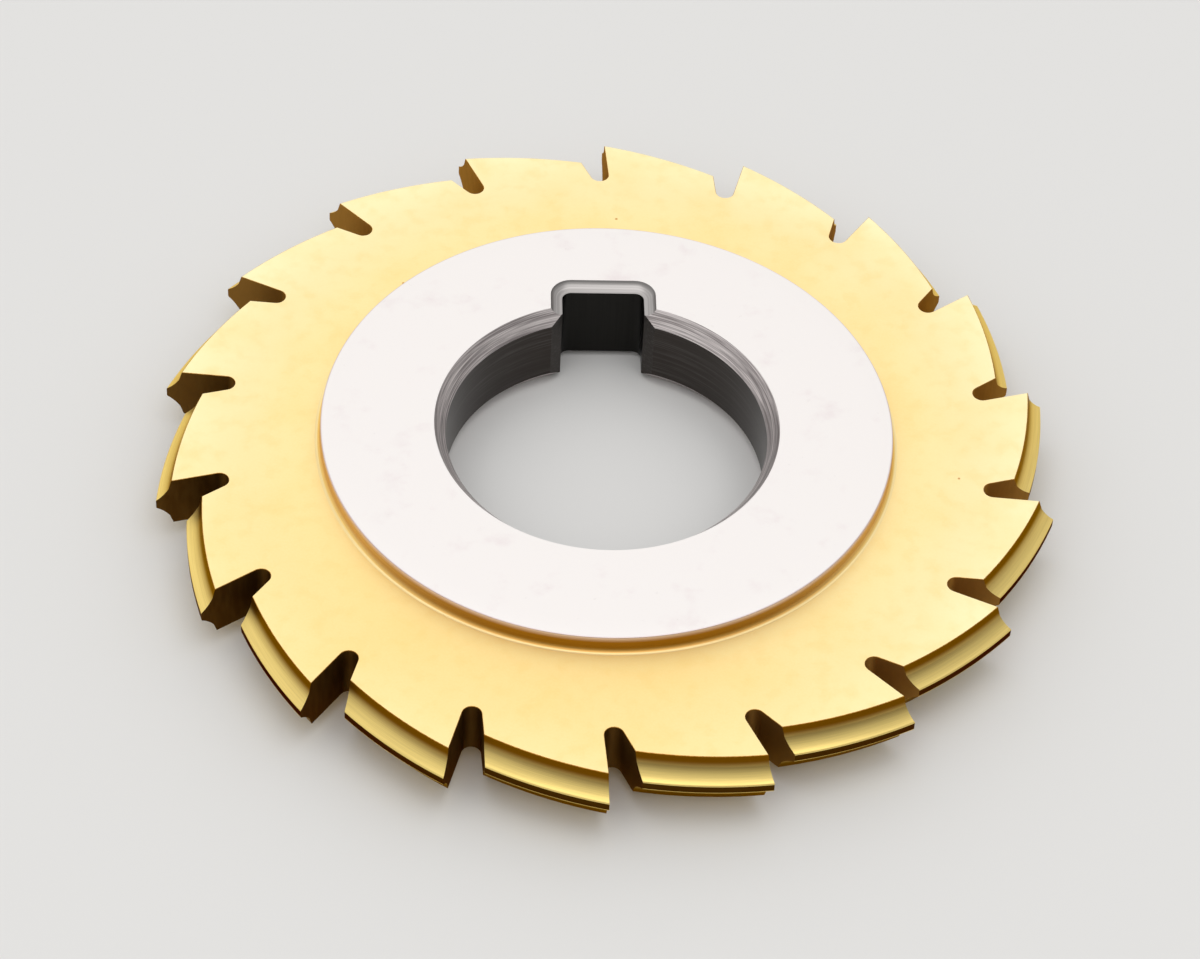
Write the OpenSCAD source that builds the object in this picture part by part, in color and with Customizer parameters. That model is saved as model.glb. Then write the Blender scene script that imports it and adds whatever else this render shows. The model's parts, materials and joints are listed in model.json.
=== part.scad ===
// Form-relieved milling cutter for involute spline shafts, made from one piece of high speed
// steel. It lies flat with its bore upright: the origin is on the bore axis at the lower hub
// face, Z runs along the bore, and the keyway points along +Y.

/* [Body] */
// Diameter over the tooth tips
outside_d = 76; // [70:0.5:90]
// Width of the toothed body between its side faces
body_w = 5; // [4.4:0.1:6.5]
// Height of each hub face above the side face
hub_step = 1.6; // [0.8:0.1:4]
// Diameter of the hub
hub_d = 48; // [42:0.5:54]
// Radius of the fillet where the hub meets the side face
hub_fillet = 0.5; // [0.2:0.1:0.8]

/* [Bore and keyway] */
// Diameter of the bore for the arbor
bore_d = 27; // [22:0.5:30]
// Width of the chamfer at each end of the bore, across the hub face
bore_chamfer_w = 1; // [0.5:0.1:1.5]
// Depth of that chamfer along the bore
bore_chamfer_h = 1.3; // [0.5:0.1:1.8]
// Width of the keyway
key_w = 7.1; // [5:0.1:8.2]
// Depth of the keyway floor beyond the wall of the bore
key_depth = 2.8; // [2.2:0.1:3.6]
// Corner radius in the keyway floor
key_corner_r = 0.8; // [0.4:0.1:1.2]
// Width of the eased rim round the keyway, across the hub face
rim_w = 1; // [0.5:0.1:1.4]
// Depth of that rim where it meets the keyway wall
rim_h = 0.6; // [0.3:0.05:1]
// Radius of the hollow in the rim
rim_r = 1.3; // [1:0.1:3]
// Width of the bevel between each keyway wall and the bore
key_bevel = 0.9; // [0.3:0.1:1.2]
// Angle from the middle of the keyway to the nearest cutting edge
key_to_tooth = 0.75; // [-5:0.05:5]

/* [Teeth] */
// Number of teeth
teeth = 18; // [14:1:20]
// Angle by which the cutting face leans back from the radius
rake = 5; // [0:0.5:8]
// Fall of the relieved tooth back over one tooth pitch
relief = 2.85; // [1.5:0.05:3.4]
// Depth of the gullet below the tooth tips
gullet_depth = 6.1; // [5.6:0.1:7]
// Radius of the gullet floor
gullet_r = 0.8; // [0.5:0.05:1]
// Angle between the two walls of the gullet
gullet_angle = 20; // [14:1:24]

/* [Spline to be cut] */
// Module of the spline
spline_module = 1; // [0.9:0.05:1.1]
// Number of teeth on the spline shaft
spline_teeth = 10; // [9:1:14]
// Pressure angle of the spline
pressure_angle = 30; // [27:0.5:32]
// Profile shift of the spline, as a share of the module
profile_shift = 0.45; // [0.35:0.01:0.5]
// Root diameter that the tooth tip cuts
root_d = 9.7; // [9.6:0.05:9.9]
// Diameter up to which the involute flank is cut
flank_d = 12.2; // [11.8:0.05:12.4]
// Angle between the shoulder beside the flank and the cutter's axis
shoulder_angle = 16; // [8:1:24]
// Radius on the two corners of the tooth tip
tip_r = 0.16; // [0.05:0.01:0.2]

/* [Hidden] */
// Straight steps along an involute flank, round a tip corner and along the rim's hollow
flank_steps = 10;
corner_steps = 3;
rim_steps = 5;
// How far a cutting shape runs past the surface that it cuts
over = 1;
// The relieving cuts start and end in the gullets, this many degrees ahead of a tooth tip
cut_start = 1.5;
cut_end = 0.7;

outside_r = outside_d/2;
bore_r = bore_d/2;
hub_r = hub_d/2;
half_body = body_w/2;
half_hub = half_body+hub_step;
pitch_angle = 360/teeth;
key_floor = bore_r+key_depth;

// Involute function of an angle in degrees, as an angle in degrees
function inv(a) = tan(a)*180/PI-a;
// The gap between two teeth of the spline: half its angle at radius r from the shaft's axis
pitch_r = spline_module*spline_teeth/2;
base_r = pitch_r*cos(pressure_angle);
spline_tooth = spline_module*(PI/2+2*profile_shift*tan(pressure_angle));
half_gap_at_pitch = 180/spline_teeth-spline_tooth/pitch_r/2*180/PI;
function half_gap(r) = half_gap_at_pitch+inv(acos(base_r/r))-inv(pressure_angle);

// A cutter tooth fills that gap. Its outline is points of [depth below the tip, distance
// from the middle of the tooth].
root_r = root_d/2;
root_height = root_r*cos(half_gap(root_r));
function flank_point(r) = [r*cos(half_gap(r))-root_height, r*sin(half_gap(r))];
flank = [for (i = [0:flank_steps]) flank_point(root_r+(flank_d/2-root_r)*i/flank_steps)];

// Each tip corner is an arc that touches the tip and the first stretch of the flank
flank_lean = atan2(flank[1].y-flank[0].y, flank[1].x-flank[0].x);
tip_centre = [tip_r, flank[0].y-tip_r*tan((90-flank_lean)/2)];
tip_corner = [for (i = [0:corner_steps]) let (a = 180-(90-flank_lean)*i/corner_steps)
    tip_centre+tip_r*[cos(a), sin(a)]];

// A straight shoulder runs from the end of the flank past the side face
shoulder_run = half_body+over-flank[flank_steps].y;
shoulder_end = flank[flank_steps]+shoulder_run*[tan(shoulder_angle), 1];
half_tooth = concat(tip_corner, [for (i = [1:flank_steps]) flank[i]], [shoulder_end]);

// The relief is an arc about an axis set off from the bore's, close to a relieving cam's spiral
relief_offset = relief/(pitch_angle*PI/180);
relief_r = norm([outside_r, relief_offset]);
tip_bearing = -atan2(relief_offset, outside_r);
next_tip_bearing = -atan2(outside_r*sin(pitch_angle)+relief_offset, outside_r*cos(pitch_angle));

// The hollow of the keyway rim: an arc from the hub face down to the wall, as points of
// [distance from the wall, height above the hub face]
rim_chord = norm([rim_w, rim_h]);
rim_centre = [rim_w, -rim_h]/2+[-rim_h, rim_w]*sqrt(pow(rim_r/rim_chord, 2)-1/4);
rim_top = atan2(-rim_centre.y, rim_w-rim_centre.x);
rim_bottom = atan2(-rim_h-rim_centre.y, -rim_centre.x);
rim_arc = [for (i = [0:rim_steps]) let (a = rim_top+(rim_bottom-rim_top)*i/rim_steps)
    rim_centre+rim_r*[cos(a), sin(a)]];
rim_inset = key_corner_r/2;

// The turned blank: the toothed body, both hubs and their fillets
module blank() {
    rotate_extrude($fn = 180) {
        translate([0, -half_body]) square([outside_r+over, body_w]);
        translate([0, -half_hub]) square([hub_r, 2*half_hub]);
        for (side = [0, 1]) mirror([0, side]) translate([hub_r, half_body])
            difference() {
                square(hub_fillet);
                translate([hub_fillet, hub_fillet]) circle(hub_fillet, $fn = 48);
            }
    }
}

// What the relieving tool takes away along one tooth: all that lies outside its outline
module relief_cut() {
    upper = [for (p = half_tooth) [relief_r-p.x, p.y]];
    lower = [for (i = [len(upper)-1:-1:0]) [upper[i].x, -upper[i].y]];
    outer = relief_r+relief+2*over;
    top = half_body+over;
    start = tip_bearing+cut_start;
    end = next_tip_bearing+cut_end;
    translate([0, relief_offset]) rotate(end)
        rotate_extrude(angle = start-end, $fn = 360)
            polygon(concat(upper, [[outer, top], [outer, -top]], lower));
}

// One gullet: a wedge with a round floor, its first wall along the cutting face
module gullet_cut() {
    centre_x = outside_r-gullet_depth+gullet_r;
    centre_y = gullet_r/cos(rake)-(outside_r-centre_x)*tan(rake);
    back = rake+gullet_angle;
    reach = (gullet_depth+relief+2*over)/cos(back);
    translate([centre_x, centre_y, -half_body-over]) linear_extrude(body_w+2*over) {
        circle(gullet_r, $fn = 48);
        polygon([
            gullet_r*[sin(rake), -cos(rake)],
            gullet_r*[sin(rake), -cos(rake)]+reach*[cos(rake), sin(rake)],
            gullet_r*[-sin(back), cos(back)]+reach*[cos(back), sin(back)],
            gullet_r*[-sin(back), cos(back)]
        ]);
    }
}

// The bore with a chamfer at each end
module bore_cut() {
    top = half_hub+over;
    mouth_r = bore_r+bore_chamfer_w*(1+over/bore_chamfer_h);
    wall_top = half_hub-bore_chamfer_h;
    rotate_extrude($fn = 180)
        polygon([[0, -top], [mouth_r, -top], [bore_r, -wall_top],
                 [bore_r, wall_top], [mouth_r, top], [0, top]]);
}

// The keyway, with its bevels to the bore and an eased rim at both hub faces
module keyway_cut() {
    half_w = key_w/2;
    corner_x = half_w-key_corner_r;
    corner_y = key_floor-key_corner_r;
    bevel_y = sqrt(pow(bore_r, 2)-pow(half_w+key_bevel, 2));
    translate([0, 0, -half_hub-over]) linear_extrude(2*(half_hub+over)) {
        translate([-half_w, 0]) square([key_w, corner_y]);
        translate([-corner_x, 0]) square([2*corner_x, key_floor]);
        for (x = [-corner_x, corner_x]) translate([x, corner_y]) circle(key_corner_r, $fn = 48);
        polygon([
            [-half_w-key_bevel-over, bevel_y-over],
            [half_w+key_bevel+over, bevel_y-over],
            [half_w-over, bevel_y+key_bevel+over],
            [over-half_w, bevel_y+key_bevel+over]
        ]);
    }
    for (side = [0, 1]) mirror([0, 0, side]) translate([0, 0, half_hub]) {
        for (hand = [0, 1]) mirror([hand, 0]) {
            translate([half_w, 0]) rotate([90, 0]) mirror([0, 0, 1])
                linear_extrude(corner_y) rim_profile();
            translate([corner_x, corner_y])
                rotate_extrude(angle = 90, $fn = 96) translate([key_corner_r, 0]) rim_profile();
        }
        translate([-corner_x, key_floor]) rotate([90, 0, 90])
            linear_extrude(2*corner_x) rim_profile();
    }
}

// Section of the rim: X away from the keyway wall, Y up from the hub face
module rim_profile() {
    first = rim_arc[0]-rim_arc[1];
    last = rim_arc[rim_steps]-rim_arc[rim_steps-1];
    polygon(concat(
        [rim_arc[0]+first*over/first.y],
        rim_arc,
        [rim_arc[rim_steps]-last*rim_inset/last.x, [-rim_inset, over]]
    ));
}

module cutter() {
    color("gold")
    translate([0, 0, half_hub])
        difference() {
            blank();
            for (i = [0:teeth-1]) rotate(90-key_to_tooth-i*pitch_angle) {
                relief_cut();
                gullet_cut();
            }
            bore_cut();
            keyway_cut();
        }
}

cutter();
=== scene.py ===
"""Looks of the spline milling cutter: its surfaces, its finishes, a pale floor and soft lamps."""

import json
import math

import bmesh
import bpy
import numpy as np
from bpy.props import FloatProperty, FloatVectorProperty, IntProperty, PointerProperty
from mathutils import Matrix, Vector


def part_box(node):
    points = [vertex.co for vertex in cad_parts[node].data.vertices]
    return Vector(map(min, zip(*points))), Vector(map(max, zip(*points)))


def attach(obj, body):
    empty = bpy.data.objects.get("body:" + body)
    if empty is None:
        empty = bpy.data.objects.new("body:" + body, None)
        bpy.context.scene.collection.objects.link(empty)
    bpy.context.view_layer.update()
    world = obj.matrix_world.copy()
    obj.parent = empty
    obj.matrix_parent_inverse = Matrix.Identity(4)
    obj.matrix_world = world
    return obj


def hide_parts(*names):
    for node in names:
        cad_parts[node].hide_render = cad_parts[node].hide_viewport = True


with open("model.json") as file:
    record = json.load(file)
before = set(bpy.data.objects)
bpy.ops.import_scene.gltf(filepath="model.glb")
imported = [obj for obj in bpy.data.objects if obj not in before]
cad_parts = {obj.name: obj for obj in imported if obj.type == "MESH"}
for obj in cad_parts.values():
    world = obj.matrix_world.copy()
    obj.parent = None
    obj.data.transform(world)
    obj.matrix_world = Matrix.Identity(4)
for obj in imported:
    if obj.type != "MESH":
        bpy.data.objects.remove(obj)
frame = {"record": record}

bl_info = {
    "name": "Spline Milling Cutter",
    "version": (1, 0, 0),
    "blender": (4, 5, 0),
    "location": "3D View > Sidebar > Cutter",
    "description": "Makes a form-relieved spline cutter in its gold coat and its bare ground steel",
    "category": "Object",
}

MM = 0.001
PHOTO_WIDTH_PX = 1200
NODE = "cutter"

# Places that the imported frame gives
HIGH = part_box(NODE)[1]
BORE = next(m for m in frame["record"]["mounts"] if m["name"] == "bore")
BORE_R = BORE["dims"]["r_mm"] * MM
MIDDLE_Z = BORE["pos_m"][2]
HALF_HUB = HIGH.z - MIDDLE_Z

# How finely each stretch of the surface is divided: along a tooth's back, along the involute and
# round a tip corner, along a straight wall, round a gullet's floor, round a quarter turn, across
# the keyway's rim, and across each strip of a flat face
FORM_STEPS = 12
FLANK_STEPS = 16
CORNER_STEPS = 4
WALL_STEPS = 3
FLOOR_STEPS = 12
ARC_STEPS = 8
RIM_STEPS = 8
FACE_STEPS = 2

# The involute's first point lies at least this much deeper than the end of the tip's corner
PAST_CORNER = 0.02 * MM

# Points of the mesh that lie nearer than this become one
WELD = 0.001 * MM

# Places tried across the keyway's rim for the end of the crease where it meets the chamfer
CREASE_PLACES = 2001

# The side face's two strips meet this far inside the gullets
UNDER_GULLETS = 1 * MM

# The way towards the brightest wall of the light tent, behind the cutter and to its left. The
# front wall's light turns evenly into the rear wall's as the cosine from that way goes from minus
# this value to plus it.
BRIGHT_WAY = (-0.36, 0.93, 0.0)
WALL_COSINE = 0.9

# Half the width of the floor
FLOOR_HALF = 3.0

# The ways of three painted tones: towards the side where the coat is painted warmest and darkest
# (painted shade), towards the side where the gullets are painted palest (painted light), and
# towards the keyway, away from the painted shade on the hub's wall
COAT_PAINTED_SHADE_WAY = (-0.37, -0.93, 0.0)
GULLET_PAINTED_LIGHT_WAY = (0.75, 0.66, 0.0)
WALL_PAINTED_LIGHT_WAY = (0.0, 1.0, 0.0)

# Edges that turn more than this stay sharp. No step of a round stretch turns as much.
SHARP = math.radians(24)


def linear(hex_colour, alpha=1.0):
    """An sRGB hex colour as the linear colour that a shader takes."""
    parts = [int(hex_colour[i:i + 2], 16) / 255 for i in (1, 3, 5)]
    return [c / 12.92 if c <= 0.04045 else ((c + 0.055) / 1.055) ** 2.4 for c in parts] + [alpha]


# Sizes and colours that a user would change


def length(name, description, mm):
    """A property that holds a length. Its default is given in mm."""
    return FloatProperty(name=name, description=description, default=mm * MM, min=0.0,
                         precision=5, unit="LENGTH")


def angle(name, description, degrees):
    """A property that holds an angle. Its default is given in degrees."""
    return FloatProperty(name=name, description=description, default=math.radians(degrees),
                         subtype="ANGLE")


def colour(name, description, hex_colour):
    """A property that holds a colour. Its default is given as sRGB hex."""
    return FloatVectorProperty(name=name, description=description, subtype="COLOR",
                               size=4, min=0.0, max=1.0, default=linear(hex_colour))


class CutterSizes(bpy.types.PropertyGroup):
    """Sizes of the cutter, the same as in its construction."""

    outside_d: length("Outside diameter", "Over the tooth tips", 76)
    body_w: length("Body width", "Between the side faces", 5)
    hub_d: length("Hub diameter", "Over the hub's wall", 48)
    hub_fillet: length("Hub fillet", "Radius where the hub meets the side face", 0.5)
    hub_break: length("Hub edge break", "Radius on the hub's outer edge", 0.09)
    tooth_break: length("Side edge break", "Width of the break round the teeth and gullets", 0.035)
    chamfer_w: length("Chamfer width", "Of the bore's chamfer, across the hub face", 1)
    chamfer_h: length("Chamfer depth", "Of the bore's chamfer, along the bore", 1.3)
    key_w: length("Keyway width", "Between the keyway's walls", 7.1)
    key_depth: length("Keyway depth", "Beyond the wall of the bore", 2.8)
    key_corner_r: length("Keyway corner", "Radius in the keyway's floor", 0.8)
    rim_w: length("Rim width", "Of the eased rim round the keyway", 1)
    rim_h: length("Rim depth", "Of the rim at the keyway's wall", 0.6)
    rim_r: length("Rim radius", "Of the hollow in the rim", 1.3)
    key_bevel: length("Keyway bevel", "Between the keyway's walls and the bore", 0.9)
    key_to_tooth: angle("Keyway to tooth", "From the keyway to the nearest cutting edge", 0.75)
    teeth: IntProperty(name="Teeth", description="Number of cutter teeth", default=18, min=3)
    rake: angle("Rake", "How far the cutting face leans back from the radius", 5)
    relief: length("Relief", "Fall of the tooth's back over one pitch", 2.85)
    gullet_depth: length("Gullet depth", "Below the tooth tips", 6.1)
    gullet_r: length("Gullet radius", "Of the gullet's floor", 0.8)
    gullet_angle: angle("Gullet angle", "Between the two walls of a gullet", 20)
    spline_module: length("Spline module", "Module of the spline to be cut", 1)
    spline_teeth: IntProperty(name="Spline teeth", description="On the shaft to be cut", default=10)
    pressure_angle: angle("Pressure angle", "Of the spline", 30)
    profile_shift: FloatProperty(name="Profile shift", description="As a share of the module",
                                 default=0.45)
    root_d: length("Root diameter", "Of the spline, cut by the tooth's tip", 9.7)
    flank_d: length("Flank diameter", "Of the spline, where its involute ends", 12.2)
    shoulder_angle: angle("Shoulder angle", "Of the shoulder beside the involute", 16)
    tip_r: length("Tip corner", "Radius on the two corners of the tooth's tip", 0.16)


class CutterColours(bpy.types.PropertyGroup):
    """Colours of the coat and of the bare steel."""

    coat: colour("Coat", "Gold nitride on the lapped side faces", "#FFEDBA")
    # Painted shade: the coat by the hub is a little redder, standing in for the hub wall's shade
    coat_by_hub_painted_shade: colour("Coat by the hub", "The same coat, thicker near the hub", "#FFEBB0")
    # Painted shade: the hub wall's colour on its side away from the keyway, which faces the dim
    # front
    hub_wall: colour("Hub wall", "Thick nitride on the hub's wall, where deepest", "#A27623")
    # Painted highlight and shade: the flank goes from this colour by the tip to the next one beside
    # the side face
    flank: colour("Flank", "Gold nitride on the relieved flanks, by the tip", "#FFE28A")
    flank_painted_shade: colour("Flank root", "The same nitride beside the side face", "#7A4E04")
    # Painted shade: the land's dark brown
    land: colour("Tip land", "Nitride on the land behind the cutting edge", "#4E3612")
    edge: colour("Edges", "Thick nitride on the broken edges", "#D09840")
    # Painted shade: the gullets' dark brown
    gullet: colour("Gullet", "Nitride over the rough gullet walls, where darkest", "#5E401C")
    steel: colour("Steel", "Bare lapped steel of the hub faces", "#F4EFEC")
    turned: colour("Turned steel", "Bare turned steel of the bore chamfers", "#EBE3E1")
    rim: colour("Keyway rim", "Bare milled steel round the keyway", "#B2AEAC")
    # Painted shade: the bore's dark steel
    bore_wall_painted_shade: colour("Bore", "Bare steel of the bore wall", "#3E3936")
    # Painted shade: the keyway's near-black steel
    broached: colour("Keyway", "Bare steel of the broached keyway", "#292826")


class StudioSetup(bpy.types.PropertyGroup):
    """Camera, floor and lamps."""

    elevation: angle("Elevation", "Camera's height above the horizon", 46.3237)
    turn: angle("Turn", "How far the keyway is turned from straight behind the bore", 3.45)
    roll: angle("Roll", "Camera's lean about its own line of sight", 3.1457)
    distance: length("Distance", "From the camera to the upper hub face", 335.03)
    lens_px: FloatProperty(
        name="Lens", description="Focal length in pixels of the photograph", default=3997.3)
    hub_right_px: FloatProperty(
        name="Hub right of the middle", description="In pixels of the photograph", default=7.24)
    hub_above_px: FloatProperty(
        name="Hub above the middle", description="In pixels of the photograph", default=56.75)
    floor: colour("Floor", "Matt pale floor", "#DDDCDA")
    front_wall: FloatProperty(
        name="Front wall", description="Light of the tent behind the camera, level with the cutter",
        default=0.08, min=0.0, max=1.0)
    rear_wall: FloatProperty(
        name="Rear wall", description="Light of the tent across from the camera, at that height",
        default=1.0, min=0.0, max=1.0)
    ceiling: FloatProperty(
        name="Ceiling", description="Light of the tent straight above",
        default=1.0, min=0.0, max=1.0)
    rear: FloatProperty(
        name="Rear softbox", description="Radiance that the rear softbox adds to the tent",
        default=0.05, min=0.0, max=4.0)
    overhead: FloatProperty(
        name="Overhead softbox", description="Radiance that the overhead softbox adds",
        default=0.80, min=0.0, max=4.0)


# Outlines in the plane: a point is the complex number x + iy, so that a turn is a product


def involute(a):
    """The involute function of a pressure angle: tan a - a."""
    return np.tan(a) - a


def tooth_form(s):
    """Half of a cutter tooth's outline: depths below the tip and heights above the middle plane.

    The tooth fills the gap between two teeth of the spline. At radius r from the shaft's axis the
    gap's half angle g is its value on the pitch circle plus inv(acos(base / r)) less inv(pressure
    angle), so the flank's point is (r cos g, r sin g). An arc eases the tip's corner, and a
    straight shoulder runs on from the flank to the side face."""
    pitch_r = s.spline_module * s.spline_teeth / 2
    base_r = pitch_r * math.cos(s.pressure_angle)
    thickness = s.spline_module * (math.pi / 2 + 2 * s.profile_shift * math.tan(s.pressure_angle))
    at_pitch = math.pi / s.spline_teeth - thickness / pitch_r / 2
    r = np.linspace(s.root_d / 2, s.flank_d / 2, FLANK_STEPS + 1)
    gap = at_pitch + involute(np.arccos(base_r / r)) - involute(s.pressure_angle)
    flank = r * np.exp(1j * gap)
    flank -= flank[0].real
    turn = math.pi / 2 - np.angle(flank[1] - flank[0])
    corner_centre = s.tip_r + 1j * (flank[0].imag - s.tip_r * math.tan(turn / 2))
    round_tip = math.pi - turn * np.linspace(0, 1, CORNER_STEPS + 1)
    corner = corner_centre + s.tip_r * np.exp(1j * round_tip)
    flank = flank[flank.real > corner[-1].real + PAST_CORNER]
    climb = s.body_w / 2 - flank[-1].imag
    rise = np.array((0.5 * climb, climb - s.tooth_break, climb))
    shoulder = flank[-1] + rise * (math.tan(s.shoulder_angle) + 1j)
    form = np.concatenate(([0], corner, flank, shoulder))
    return form.real, form.imag


def meets(foot, way, axis, radii):
    """Where a line from foot along the unit way meets circles round an axis. Seen along the line
    the axis lies h to its side, so each point is way (sqrt(radius² - h²) + ih) away from it."""
    side = ((foot - axis) / way).imag
    return axis + way * (np.sqrt(radii ** 2 - side ** 2) + 1j * side)


def tooth_and_gullet(s, depth):
    """One tooth and the gullet behind it, clockwise from the cutting edge: a row of points for
    each step along the path, a column for each depth of the form.

    The relieved back is the form carried along an arc about an axis set off from the bore's. The
    gullet's two walls are planes that touch its round floor."""
    pitch = math.tau / s.teeth
    clockwise = np.exp(-1j * pitch)
    outside_r = s.outside_d / 2
    axis = 1j * s.relief / pitch
    radii = abs(outside_r - axis) - depth
    centre = outside_r - s.gullet_depth + s.gullet_r
    centre += 1j * (s.gullet_r / math.cos(s.rake) - (outside_r - centre) * math.tan(s.rake))
    face_way = np.exp(1j * s.rake)
    heel_way = np.exp(1j * (s.rake + s.gullet_angle))
    face_foot = centre - 1j * s.gullet_r * face_way
    heel_foot = (centre + 1j * s.gullet_r * heel_way) * clockwise
    edge = meets(face_foot, face_way, axis, radii)
    heel = meets(heel_foot, heel_way * clockwise, axis, radii)
    bearing = np.linspace(np.angle(edge - axis), np.angle(heel - axis), FORM_STEPS + 1)
    across_floor = np.linspace(0, math.pi - s.gullet_angle, FLOOR_STEPS + 1)[:, None]
    whole = np.ones(len(depth))
    relieved = axis + radii * np.exp(1j * bearing)
    down = np.linspace(heel, heel_foot * whole, WALL_STEPS + 1)
    floor = (centre + 1j * s.gullet_r * heel_way * np.exp(1j * across_floor)) * clockwise * whole
    up = np.linspace(face_foot * clockwise * whole, edge * clockwise, WALL_STEPS + 1)
    return np.concatenate((relieved[:-1], down[:-1], floor[:-1], up[:-1]))


def inset(outline, width):
    """A clockwise closed outline moved inwards: each point goes by width (m + n) / (1 + m·n),
    where m and n are the inward normals before and after it."""
    ahead = np.roll(outline, -1) - outline
    after = -1j * ahead / abs(ahead)
    before = np.roll(after, 1)
    return outline + width * (before + after) / (1 + (before * after.conj()).real)


# Surfaces of the upper half, as grids of points. The lower half is their mirror image.


def space(plane, height):
    """Points of the plane raised to a height above the middle plane: (x, y, height)."""
    return np.stack(np.broadcast_arrays(plane.real, plane.imag, height), -1)


def toothed_band(s):
    """The form carried round all teeth and gullets, closed, with a break where it meets the side
    face: (points, finish of each cell, outline that the side face fills)."""
    depth, height = tooth_form(s)
    period = tooth_and_gullet(s, depth)
    first = math.pi / 2 - s.key_to_tooth
    turns = np.exp(1j * (first - math.tau / s.teeth * np.arange(s.teeth)))
    band = (turns[:, None, None] * period).reshape(-1, len(depth))
    band[:, -1] = inset(band[:, -1], s.tooth_break)
    finish = np.full((len(period), len(depth) - 1), FINISHES.index(milled_nitride_painted_shade))
    finish[:FORM_STEPS] = FINISHES.index(ground_nitride)
    finish[:FORM_STEPS, 0] = FINISHES.index(tip_land_painted_shade)
    finish[:, -1] = FINISHES.index(edge_nitride)
    return space(np.vstack((band, band[:1])), height), np.tile(finish, (s.teeth, 1)), band[:, -1]


def spokes_under(outline):
    """A direction for each point of the outline, spaced as the outline's length is, so that the
    lines between them never cross. They are set so that the deepest point of a gullet lies straight
    out along its own."""
    ahead = abs(np.roll(outline, -1) - outline)
    share = (np.cumsum(ahead) - ahead) / ahead.sum()
    deepest = abs(outline).argmin()
    turns = np.exp(1j * math.tau * (share[deepest] - share))
    return outline[deepest] / abs(outline[deepest]) * turns


def ring(inner, outer, height):
    """The flat strip between two closed outlines: inner + (outer - inner) k / FACE_STEPS."""
    rows = np.linspace(inner, outer, FACE_STEPS + 1).T
    return space(np.vstack((rows, rows[:1])), height)


def hub_wall(s, spokes):
    """A section turned round the axis: the hub's fillet and wall, and apart from them its broken
    edge. Each arc is its centre plus radius times (cos a, sin a)."""
    quarter = np.linspace(0, math.pi / 2, ARC_STEPS + 1)
    hub_r, side = s.hub_d / 2, s.body_w / 2
    fillet = hub_r + 1j * side + s.hub_fillet * (1 + 1j - 1j * np.exp(-1j * quarter))
    edge = hub_r + 1j * HALF_HUB - s.hub_break * (1 + 1j - np.exp(1j * quarter))
    around = np.append(spokes, spokes[0])[:, None]
    wall = np.append(fillet, edge[0])
    return space(around * wall.real, wall.imag), space(around * edge.real, edge.imag)


def bore_mouth(s, columns):
    """The mouth of the bore and keyway: grids of the keyway's rim (right half), of the bore's
    chamfer and of the walls below them, and the outline of the mouth on the hub face.

    Above the plane the rim is a hollow arc over the distance d from the keyway's wall, and the
    chamfer rises evenly with the radius. They meet where both are as high, at the radius
    mouth + (arc's height) width / depth. The bevel between wall and bore is the line
    x + y = constant, which meets a radius at x = (constant - sqrt(2 radius² - constant²)) / 2."""
    half_w, key_floor = s.key_w / 2, BORE_R + s.key_depth
    corner = half_w - s.key_corner_r + 1j * (key_floor - s.key_corner_r)
    bevel_x = half_w + s.key_bevel
    bevel_sum = bevel_x + math.sqrt(BORE_R ** 2 - bevel_x ** 2)
    mouth_r, slope = BORE_R + s.chamfer_w, s.chamfer_h / s.chamfer_w

    chord = math.hypot(s.rim_w, s.rim_h)
    arc_centre = (s.rim_w - 1j * s.rim_h) / 2
    arc_centre += (-s.rim_h + 1j * s.rim_w) * math.sqrt((s.rim_r / chord) ** 2 - 0.25)

    def rim_height(d):
        return arc_centre.imag - np.sqrt(s.rim_r ** 2 - (d - arc_centre.real) ** 2)

    def bevel_y(d):
        return bevel_sum - half_w - d

    def crease_y(d):
        return np.sqrt((mouth_r + rim_height(d) / slope) ** 2 - (half_w + d) ** 2)

    fine = np.linspace(0, s.rim_w, CREASE_PLACES)
    crease_d = np.interp(0, crease_y(fine) - bevel_y(fine), fine)
    d = np.concatenate(([0], np.linspace(crease_d, s.rim_w, RIM_STEPS)))[:, None]
    lowest = np.maximum(bevel_y(d), crease_y(d))

    floor_x = np.linspace(0, corner.real, WALL_STEPS + 1)[:-1]
    round_corner = np.exp(1j * np.linspace(math.pi / 2, 0, ARC_STEPS + 1))[:-1]
    down_wall = np.linspace(0, 1, 2 * WALL_STEPS + 1)
    rim = np.hstack((
        floor_x + 1j * (key_floor + d),
        corner + (s.key_corner_r + d) * round_corner,
        half_w + d + 1j * (corner.imag + (lowest - corner.imag) * down_wall),
    ))

    below = np.linspace(BORE_R, abs(rim[1, -1]), WALL_STEPS + 1)[:-1]
    below_x = (bevel_sum - np.sqrt(2 * below ** 2 - bevel_sum ** 2)) / 2
    start = np.concatenate((below_x + 1j * (bevel_sum - below_x), rim[1:, -1]))
    first = np.angle(start)
    chamfer_columns = columns - 2 * (rim.shape[1] - 1)
    bearing = np.linspace(first, -math.pi - first, chamfer_columns + 1).T
    chamfer = abs(start)[:, None] * np.exp(1j * bearing)
    chamfer_height = (abs(start) - mouth_r)[:, None] * slope

    bevel = np.append(rim[0, -1], start[len(below)::-1])
    bevel_top = np.append(-s.rim_h, chamfer_height[len(below)::-1, 0])
    shares = np.linspace(1, 0, WALL_STEPS + 1)[:, None]
    outline = np.concatenate((rim[-1, :-1], chamfer[-1, :-1], -rim[-1, :0:-1].conj()))
    key_side = (
        (space(rim, HALF_HUB + rim_height(d)), milled_rim),
        (space(rim[0], (HALF_HUB - s.rim_h) * shares), broached_steel_painted_shade),
        (space(bevel, (HALF_HUB + bevel_top) * shares), ground_bore_in_painted_shade),
    )
    other_side = tuple((grid[..., ::-1, :] * (-1, 1, 1), finish) for grid, finish in key_side)
    bore = (
        (space(chamfer, HALF_HUB + chamfer_height), turned_steel),
        (space(chamfer[0], (HALF_HUB - s.chamfer_h) * shares), ground_bore_in_painted_shade),
    )
    return key_side + other_side + bore, outline


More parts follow.
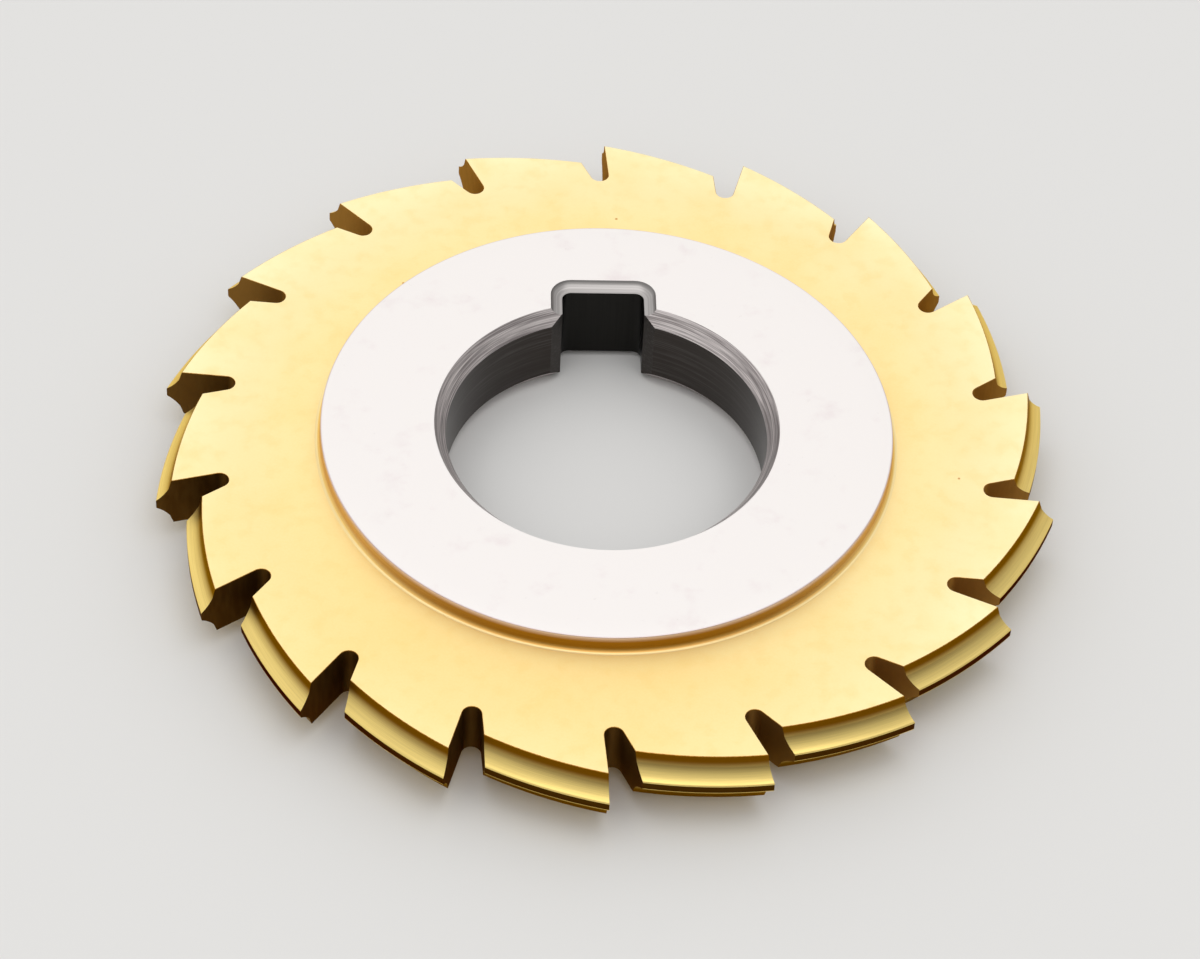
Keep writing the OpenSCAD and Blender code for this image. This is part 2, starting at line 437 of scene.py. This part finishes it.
def surfaces(s):
    """Every surface of the upper half: (grid of points, finish of the whole grid or each cell).
    The hub face's two strips start at the point that is nearest the keyway's middle."""
    band, band_finish, outline = toothed_band(s)
    spokes = spokes_under(outline)
    under_gullets = spokes * (abs(outline).min() - UNDER_GULLETS)
    mouth, mouth_outline = bore_mouth(s, len(spokes))
    around_mouth = mouth_outline / abs(mouth_outline) * (abs(mouth_outline).max() + s.hub_d / 2) / 2
    hub_edge = np.roll(spokes, -abs(spokes - 1j).argmin()) * (s.hub_d / 2 - s.hub_break)
    wall, hub_break = hub_wall(s, spokes)
    side = s.body_w / 2
    return (
        (band, band_finish),
        (ring(under_gullets, outline, side), lapped_nitride),
        (ring(spokes * (s.hub_d / 2 + s.hub_fillet), under_gullets, side), lapped_nitride),
        (wall, wall_nitride_painted_shade),
        (hub_break, lapped_steel),
        (ring(mouth_outline, around_mouth, HALF_HUB), lapped_steel),
        (ring(around_mouth, hub_edge, HALF_HUB), lapped_steel),
        *mouth,
    )


def closed_mesh(name, grids):
    """One closed mesh of those grids and their mirror images under the middle plane."""
    points, faces, finishes = [], [], []
    for grid, finish in grids:
        index = np.arange(grid[..., 0].size).reshape(grid.shape[:2]) + sum(map(len, points))
        faces.append(np.stack((index[:-1, :-1], index[:-1, 1:], index[1:, 1:], index[1:, :-1]),
                              -1).reshape(-1, 4))
        if not isinstance(finish, np.ndarray):
            finish = np.full(len(faces[-1]), FINISHES.index(finish))
        finishes.append(finish.ravel())
        points.append(grid.reshape(-1, 3))
    points, faces, finishes = map(np.concatenate, (points, faces, finishes))
    lower = faces[:, ::-1] + len(points)
    points = np.concatenate((points, points * (1, 1, -1))) + (0, 0, MIDDLE_Z)
    mesh = bpy.data.meshes.new(name)
    mesh.from_pydata(points.tolist(), [], np.concatenate((faces, lower)).tolist())
    mesh.polygons.foreach_set("material_index", np.tile(finishes, 2))
    work = bmesh.new()
    work.from_mesh(mesh)
    bmesh.ops.remove_doubles(work, verts=work.verts, dist=WELD)
    bmesh.ops.recalc_face_normals(work, faces=work.faces)
    work.to_mesh(mesh)
    work.free()
    mesh.shade_smooth()
    mesh.set_sharp_from_angle(angle=SHARP)
    return mesh


# Nodes


def add(tree, kind, inputs=None, **settings):
    """Adds one node with its settings. Each input gets a value, or the socket that feeds it."""
    node = tree.nodes.new(kind)
    for name, value in settings.items():
        setattr(node, name, value)
    for name, value in (inputs or {}).items():
        socket = node.inputs[name]
        if isinstance(value, bpy.types.NodeSocket):
            tree.links.new(value, socket)
        else:
            socket.default_value = value
    return node


def from_axis(tree):
    """The unit direction and the distance, in metres, from the bore's axis."""
    place = add(tree, "ShaderNodeTexCoord").outputs["Object"]
    flat = add(tree, "ShaderNodeVectorMath", {0: place, 1: (1, 1, 0)},
               operation="MULTIPLY").outputs[0]
    way = add(tree, "ShaderNodeVectorMath", {0: flat}, operation="NORMALIZE").outputs[0]
    return way, add(tree, "ShaderNodeVectorMath", {0: flat}, operation="LENGTH").outputs["Value"]


def from_middle(tree):
    """The distance from the cutter's middle plane, in metres."""
    place = add(tree, "ShaderNodeTexCoord").outputs["Object"]
    height = add(tree, "ShaderNodeSeparateXYZ", {"Vector": place}).outputs["Z"]
    centred = add(tree, "ShaderNodeMath", {0: height, 1: MIDDLE_Z}, operation="SUBTRACT").outputs[0]
    return add(tree, "ShaderNodeMath", {0: centred}, operation="ABSOLUTE").outputs[0]


def towards(tree, way):
    """How far a place lies from the bore's axis along that level way, in metres."""
    place = add(tree, "ShaderNodeTexCoord").outputs["Object"]
    reach = add(tree, "ShaderNodeVectorMath", {0: place, 1: way}, operation="DOT_PRODUCT")
    return reach.outputs["Value"]


def flecks(tree, across, upright, detail=2.0, roughness=0.5):
    """Noise in flecks that measure about across along X and Y, and upright along Z, in metres."""
    place = add(tree, "ShaderNodeTexCoord").outputs["Object"]
    scaled = add(tree, "ShaderNodeMapping",
                 {"Vector": place, "Scale": (1 / across, 1 / across, 1 / upright)})
    return add(tree, "ShaderNodeTexNoise",
               {"Vector": scaled.outputs["Vector"], "Scale": 1.0, "Detail": detail,
                "Roughness": roughness}).outputs["Fac"]


def rings(tree, pitch, run):
    """Noise that changes over a pitch along the radius and the height, but over a longer run round
    the bore: fine broken lines about its axis. Its four coordinates are the unit direction from
    the axis times (bore radius / run), the height / pitch and the radius / pitch."""
    way, out = from_axis(tree)
    turns = add(tree, "ShaderNodeVectorMath", {0: way, "Scale": BORE_R / run}, operation="SCALE")
    place = add(tree, "ShaderNodeTexCoord").outputs["Object"]
    lines = add(tree, "ShaderNodeVectorMath",
                {0: place, 1: (0, 0, 1 / pitch), 2: turns.outputs[0]}, operation="MULTIPLY_ADD")
    out = add(tree, "ShaderNodeMath", {0: out, 1: pitch}, operation="DIVIDE")
    return add(tree, "ShaderNodeTexNoise",
               {"Vector": lines.outputs[0], "W": out.outputs[0], "Scale": 1.0, "Detail": 3.0,
                "Roughness": 0.6}, noise_dimensions="4D").outputs["Fac"]


def shaded(tree, value, start, end, first, last, most=1.0):
    """The first colour, turning smoothly to the last one as value goes from start to end. Most is
    the share that the last one reaches."""
    share = add(tree, "ShaderNodeMapRange",
                {"Value": value, "From Min": start, "From Max": end, "To Max": most},
                interpolation_type="SMOOTHSTEP").outputs["Result"]
    return add(tree, "ShaderNodeMix", {0: share, 6: first, 7: last}, data_type="RGBA").outputs[2]


def metal(name, grazing="#FFFFFF"):
    """A new material whose shader is metal with Blender's default IOR, and with that tint where it
    is seen at a grazing angle: (material, tree, shader)."""
    material = bpy.data.materials.new(name)
    material.use_nodes = True
    tree = material.node_tree
    tree.nodes.clear()
    shader = add(tree, "ShaderNodeBsdfPrincipled",
                 {"Metallic": 1.0, "Specular Tint": linear(grazing)})
    add(tree, "ShaderNodeOutputMaterial", {"Surface": shader.outputs["BSDF"]})
    return material, tree, shader


def finished(made, base, relief, depth, low, high):
    """Gives the metal its colour, and the relief that a pattern makes: its depth in metres, and a
    roughness that goes from low to high with the pattern."""
    material, tree, shader = made
    normal = add(tree, "ShaderNodeBump", {"Height": relief, "Distance": depth, "Strength": 0.5})
    roughness = add(tree, "ShaderNodeMapRange", {"Value": relief, "From Min": 0.25,
                                                 "From Max": 0.75, "To Min": low, "To Max": high})
    tree.links.new(base, shader.inputs["Base Color"])
    tree.links.new(normal.outputs["Normal"], shader.inputs["Normal"])
    tree.links.new(roughness.outputs["Result"], shader.inputs["Roughness"])
    return material


# Finishes


def lapped_nitride(s, c):
    """Titanium nitride on lapped steel: satin gold, redder by the hub, which is painted shade from
    the hub wall, paler by the teeth, and warmer and darker to one side, which is painted shade,
    with faint clouds and a few pinhead spatters of the coat. The real lapping pits are about
    0.01 mm across, and are drawn 0.18 mm across to show."""
    made = metal("lapped_nitride")
    tree = made[1]
    out = from_axis(tree)[1]
    hub_r, tip_r = s.hub_d / 2, s.outside_d / 2
    # Painted shade: redder by the hub
    gold = shaded(tree, out, hub_r, hub_r + 8 * MM, c.coat_by_hub_painted_shade, c.coat)
    gold = shaded(tree, out, tip_r - 8 * MM, tip_r, gold, linear("#FFF8CC"))
    # Painted shade: warmer and darker towards one side
    gold = shaded(tree, towards(tree, COAT_PAINTED_SHADE_WAY), 4 * MM, 32 * MM, gold, linear("#FFDA80"), 0.38)
    large = flecks(tree, 7 * MM, 7 * MM, 3.0)
    gold = shaded(tree, large, 0.40, 0.75, gold, linear("#FCDE90"), 0.28)
    small = flecks(tree, 1.6 * MM, 1.6 * MM, 3.0)
    gold = shaded(tree, small, 0.45, 0.75, gold, linear("#FAD888"), 0.22)
    place = add(tree, "ShaderNodeTexCoord").outputs["Object"]
    cells = add(tree, "ShaderNodeMapping", {"Vector": place, "Scale": [1 / (5 * MM)] * 3})
    spot = add(tree, "ShaderNodeTexVoronoi", {"Vector": cells.outputs["Vector"], "Scale": 1.0})
    gold = shaded(tree, spot.outputs["Distance"], 0.030, 0.018, gold, linear("#C98A30"), 0.7)
    pits = flecks(tree, 0.18 * MM, 0.18 * MM)
    return finished(made, gold, pits, 0.002 * MM, 0.58, 0.66)


def wall_nitride_painted_shade(s, c):
    """The same coat on the hub's turned wall: deep orange away from the keyway and paler round the
    sides, which is painted shade where the wall faces the dim front of the light tent. The coat
    runs into the side face's gold down the fillet, whose foot is painted darker away from the
    keyway too: painted shade that tones down the fillet's highlight. The wall is pale and
    pinkish along the top, where lapping has rubbed it. The real turning lines are about 0.05 mm
    apart, and are drawn 0.10 mm apart to show."""
    made = metal("wall_nitride_painted_shade", "#F0CE8C")
    tree = made[1]
    side = s.body_w / 2
    height = from_middle(tree)
    painted_light_toward_key = towards(tree, WALL_PAINTED_LIGHT_WAY)
    # Painted shade: the wall and its fillet's foot are darker away from the keyway
    wall = shaded(tree, painted_light_toward_key, -24 * MM, -10 * MM, c.hub_wall, linear("#E6C892"))
    foot = shaded(tree, painted_light_toward_key, -24 * MM, -10 * MM, linear("#ECB866"), linear("#FFDA84"))
    gold = shaded(tree, height, side + 0.40 * MM, side + 0.05 * MM, wall, foot)
    gold = shaded(tree, height, side + 0.10 * MM, side + 0.02 * MM, gold, c.coat_by_hub_painted_shade)
    gold = shaded(tree, height, HALF_HUB - 0.65 * MM, HALF_HUB, gold, linear("#E6DCF0"))
    lines = rings(tree, 0.10 * MM, 6 * MM)
    gold = shaded(tree, lines, 0.3, 0.7, gold, linear("#8E6420"), 0.2)
    return finished(made, gold, lines, 0.003 * MM, 0.48, 0.52)


def edge_nitride(s, c):
    """Nitride over the deburred edges of teeth and gullets, where it builds up orange. The brush
    marks are drawn 0.3 mm long."""
    made = metal("edge_nitride", "#F0CE8C")
    tree = made[1]
    marks = flecks(tree, 0.3 * MM, 0.3 * MM)
    gold = shaded(tree, marks, 0.3, 0.7, c.edge, linear("#A8702A"))
    return finished(made, gold, marks, 0.003 * MM, 0.38, 0.42)


def ground_nitride(s, c):
    """Nitride over form-ground flanks: darker beside the side face and bright by the tip, which is
    painted shade and painted highlight along the profile, with grinding lines along the relief.
    The real lines are about 0.02 mm apart, and are drawn 0.07 mm apart to show."""
    made = metal("ground_nitride", "#F6DEA8")
    tree = made[1]
    side = s.body_w / 2
    # Painted shade beside the side face, painted highlight by the tip
    gold = shaded(tree, from_middle(tree), side - 0.45 * MM, side - 1.6 * MM, c.flank_painted_shade, c.flank)
    lines = flecks(tree, 6 * MM, 0.07 * MM, 3.0, 0.6)
    gold = shaded(tree, lines, 0.3, 0.7, gold, linear("#5A3C08"), 0.12)
    return finished(made, gold, lines, 0.003 * MM, 0.31, 0.39)


def tip_land_painted_shade(s, c):
    """The narrow land behind each cutting edge, in dark brown: painted shade, where the land faces
    down towards shade. Its lines are drawn 0.08 mm apart to show."""
    made = metal("tip_land_painted_shade", "#A87A40")
    tree = made[1]
    lines = flecks(tree, 4 * MM, 0.08 * MM, 2.0, 0.6)
    # The dark brown is painted shade
    brown = shaded(tree, lines, 0.3, 0.7, c.land, linear("#4A3010"), 0.5)
    return finished(made, brown, lines, 0.003 * MM, 0.34, 0.38)


def milled_nitride_painted_shade(s, c):
    """Nitride over milled gullets: dark brown, which is painted shade inside the gullets, and
    painted lighter to one side of the cutter, which is painted light. The milling marks are
    0.6 mm apart."""
    made = metal("milled_nitride_painted_shade", "#B08C58")
    tree = made[1]
    marks = flecks(tree, 0.6 * MM, 3 * MM, 3.0, 0.6)
    # Painted shade: dark brown gullets, painted lighter towards one side
    brown = shaded(tree, towards(tree, GULLET_PAINTED_LIGHT_WAY), -32 * MM, 8 * MM, c.gullet, linear("#B58948"))
    brown = shaded(tree, marks, 0.35, 0.7, brown, linear("#98763C"), 0.2)
    return finished(made, brown, marks, 0.004 * MM, 0.56, 0.64)


def lapped_steel(s, c):
    """Bare steel lapped after coating: silvery and even, with faint pink clouds where it was
    handled, small dark scuffs, and a mauve heat tint along its outer edge. The lapping pits are
    drawn 0.15 mm across to show."""
    made = metal("lapped_steel")
    tree = made[1]
    clouds = flecks(tree, 4 * MM, 4 * MM, 4.0, 0.6)
    steel = shaded(tree, clouds, 0.55, 0.80, c.steel, linear("#E2D2D4"), 0.4)
    scuffs = flecks(tree, 0.7 * MM, 1 * MM, 4.0, 0.7)
    steel = shaded(tree, scuffs, 0.66, 0.80, steel, linear("#B7AEAC"), 0.25)
    out = from_axis(tree)[1]
    tint_r = s.hub_d / 2 - 0.16 * MM
    steel = shaded(tree, out, tint_r, tint_r + 0.14 * MM, steel, linear("#CDB8BA"), 0.8)
    pits = flecks(tree, 0.15 * MM, 0.15 * MM)
    return finished(made, steel, pits, 0.002 * MM, 0.35, 0.41)


def turned_steel(s, c):
    """Bare steel turned with a pointed tool: fine bright and dark lines round the bore, about
    0.09 mm apart."""
    made = metal("turned_steel")
    tree = made[1]
    lines = rings(tree, 0.09 * MM, 5 * MM)
    steel = shaded(tree, lines, 0.35, 0.68, linear("#948C8B"), c.turned)
    return finished(made, steel, lines, 0.008 * MM, 0.52, 0.46)


def milled_rim(s, c):
    """The keyway's eased rim: bare steel with milling lines that lie level, and painted darker
    along the hub face, which is painted shade. The lines are drawn 0.08 mm apart to show."""
    made = metal("milled_rim")
    tree = made[1]
    lines = flecks(tree, 20 * MM, 0.08 * MM, 2.0, 0.6)
    steel = shaded(tree, lines, 0.35, 0.65, linear("#9C9896"), c.rim)
    # Painted shade along the hub face
    steel = shaded(tree, from_middle(tree), HALF_HUB - 0.30 * MM, HALF_HUB - 0.05 * MM, steel,
                   linear("#787573"), 0.7)
    return finished(made, steel, lines, 0.006 * MM, 0.34, 0.38)


def ground_bore_in_painted_shade(s, c):
    """Internally ground steel, dark: painted shade inside the bore, with fine lines round the bore.
    The real lines are about 0.02 mm apart, and are drawn 0.12 mm apart to show."""
    made = metal("ground_bore_in_painted_shade")
    tree = made[1]
    lines = rings(tree, 0.12 * MM, 6 * MM)
    # The dark steel is painted shade
    steel = shaded(tree, lines, 0.45, 0.75, c.bore_wall_painted_shade, linear("#706E6C"), 0.3)
    return finished(made, steel, lines, 0.003 * MM, 0.30, 0.34)


def broached_steel_painted_shade(s, c):
    """Broached keyway walls: near-black steel, which is painted shade inside the keyway, with drag
    lines along the bore, about 0.15 mm apart.
    """
    made = metal("broached_steel_painted_shade")
    tree = made[1]
    lines = flecks(tree, 0.15 * MM, 8 * MM, 3.0, 0.6)
    # The near-black steel is painted shade
    steel = shaded(tree, lines, 0.3, 0.7, c.broached, linear("#232220"), 0.4)
    return finished(made, steel, lines, 0.004 * MM, 0.38, 0.42)


FINISHES = (lapped_nitride, wall_nitride_painted_shade, edge_nitride, ground_nitride, tip_land_painted_shade, milled_nitride_painted_shade,
            lapped_steel, turned_steel, milled_rim, ground_bore_in_painted_shade, broached_steel_painted_shade)


# Operators


class CUTTER_OT_camera(bpy.types.Operator):
    """Place the camera at the photograph's viewing angle"""

    bl_idname = "cutter.camera"
    bl_label = "Camera"

    def execute(self, context):
        s = context.scene.cutter_studio
        swing = Matrix.Rotation(-s.turn, 3, "Z")
        back = swing @ Vector((0, -math.cos(s.elevation), math.sin(s.elevation)))
        level = swing @ Vector((1, 0, 0))
        rise = back.cross(level)
        right = level * math.cos(s.roll) + rise * math.sin(s.roll)
        up = rise * math.cos(s.roll) - level * math.sin(s.roll)
        per_px = s.distance / s.lens_px
        place = back * s.distance - right * s.hub_right_px * per_px - up * s.hub_above_px * per_px
        data = bpy.data.cameras.new("camera")
        data.lens = data.sensor_width * s.lens_px / PHOTO_WIDTH_PX
        data.clip_start, data.clip_end = 0.01, 10.0
        camera = bpy.data.objects.new("camera", data)
        axes = Matrix((right, up, back)).transposed()
        camera.matrix_world = Matrix.Translation(place + Vector((0, 0, HIGH.z))) @ axes.to_4x4()
        context.scene.collection.objects.link(camera)
        context.scene.camera = camera
        return {"FINISHED"}


class CUTTER_OT_body(bpy.types.Operator):
    """Make the cutter: teeth, gullets, hub, bore and keyway, each in its own finish"""

    bl_idname = "cutter.body"
    bl_label = "Cutter body"

    def execute(self, context):
        sizes, colours = context.scene.cutter_sizes, context.scene.cutter_colours
        mesh = closed_mesh("cutter_body", surfaces(sizes))
        for finish in FINISHES:
            mesh.materials.append(finish(sizes, colours))
        cutter = bpy.data.objects.new("cutter_body", mesh)
        context.scene.collection.objects.link(cutter)
        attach(cutter, "root")
        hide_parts(NODE)
        return {"FINISHED"}


def softbox(name, radiance, width, depth, place, target):
    """A rectangular lamp, turned to its target. Its power is its radiance times pi and its area."""
    data = bpy.data.lights.new(name, "AREA")
    data.shape = "RECTANGLE"
    data.size, data.size_y = width, depth
    data.energy = radiance * math.pi * width * depth
    lamp = bpy.data.objects.new(name, data)
    turned = (Vector(target) - Vector(place)).to_track_quat("-Z", "Y").to_matrix().to_4x4()
    lamp.matrix_world = Matrix.Translation(place) @ turned
    bpy.context.scene.collection.objects.link(lamp)


class CUTTER_OT_stage(bpy.types.Operator):
    """Lay the pale floor and hang the soft lamps"""

    bl_idname = "cutter.stage"
    bl_label = "Floor and lamps"

    def execute(self, context):
        s = context.scene.cutter_studio
        corners = [(FLOOR_HALF * x, FLOOR_HALF * y, 0)
                   for x, y in ((-1, -1), (1, -1), (1, 1), (-1, 1))]
        mesh = bpy.data.meshes.new("floor")
        mesh.from_pydata(corners, [], [(0, 1, 2, 3)])
        material = bpy.data.materials.new("matt_floor")
        material.use_nodes = True
        shader = material.node_tree.nodes["Principled BSDF"]
        shader.inputs["Base Color"].default_value = list(s.floor)
        shader.inputs["Roughness"].default_value = 0.9
        shader.inputs["Specular IOR Level"].default_value = 0.1
        mesh.materials.append(material)
        floor = bpy.data.objects.new("floor", mesh)
        context.scene.collection.objects.link(floor)
        centre = (0, 0, MIDDLE_Z)
        softbox("rear_softbox", s.rear, width=1.0, depth=0.8, place=(0.0, 0.62, 0.62),
                target=centre)
        softbox("overhead_softbox", s.overhead, width=1.0, depth=1.0, place=(0.0, -0.2, 0.9),
                target=centre)
        world = bpy.data.worlds.new("room")
        world.use_nodes = True
        tree = world.node_tree
        way = add(tree, "ShaderNodeTexCoord").outputs["Generated"]
        up = add(tree, "ShaderNodeSeparateXYZ", {"Vector": way}).outputs["Z"]
        to_rear = add(tree, "ShaderNodeVectorMath", {0: way, 1: BRIGHT_WAY},
                      operation="DOT_PRODUCT").outputs["Value"]
        wall = add(tree, "ShaderNodeMapRange",
                   {"Value": to_rear, "From Min": -WALL_COSINE, "From Max": WALL_COSINE,
                    "To Min": s.front_wall, "To Max": s.rear_wall}).outputs["Result"]
        light = add(tree, "ShaderNodeMapRange",
                    {"Value": up, "To Min": wall, "To Max": s.ceiling}).outputs["Result"]
        tree.links.new(light, tree.nodes["Background"].inputs["Color"])
        context.scene.world = world
        context.scene.view_settings.view_transform = "Standard"
        return {"FINISHED"}


class CUTTER_PT_panel(bpy.types.Panel):
    """Lists the steps and their settings"""

    bl_label = "Spline Milling Cutter"
    bl_idname = "CUTTER_PT_panel"
    bl_space_type = "VIEW_3D"
    bl_region_type = "UI"
    bl_category = "Cutter"

    def draw(self, context):
        for step in STEPS:
            self.layout.operator(step.bl_idname)
        for name in SETTINGS:
            settings = getattr(context.scene, name)
            box = self.layout.box()
            for key in settings.__annotations__:
                box.prop(settings, key)


STEPS = (CUTTER_OT_camera, CUTTER_OT_body, CUTTER_OT_stage)
SETTINGS = {
    "cutter_sizes": CutterSizes,
    "cutter_colours": CutterColours,
    "cutter_studio": StudioSetup,
}


def register():
    for cls in (*SETTINGS.values(), *STEPS, CUTTER_PT_panel):
        bpy.utils.register_class(cls)
    for name, group in SETTINGS.items():
        setattr(bpy.types.Scene, name, PointerProperty(type=group))


def unregister():
    for name in SETTINGS:
        delattr(bpy.types.Scene, name)
    for cls in (CUTTER_PT_panel, *STEPS, *SETTINGS.values()):
        bpy.utils.unregister_class(cls)


def main():
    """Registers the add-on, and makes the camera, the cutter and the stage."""
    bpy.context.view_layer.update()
    register()
    bpy.ops.cutter.camera()
    bpy.ops.cutter.body()
    bpy.ops.cutter.stage()


if __name__ == "__main__":
    main()
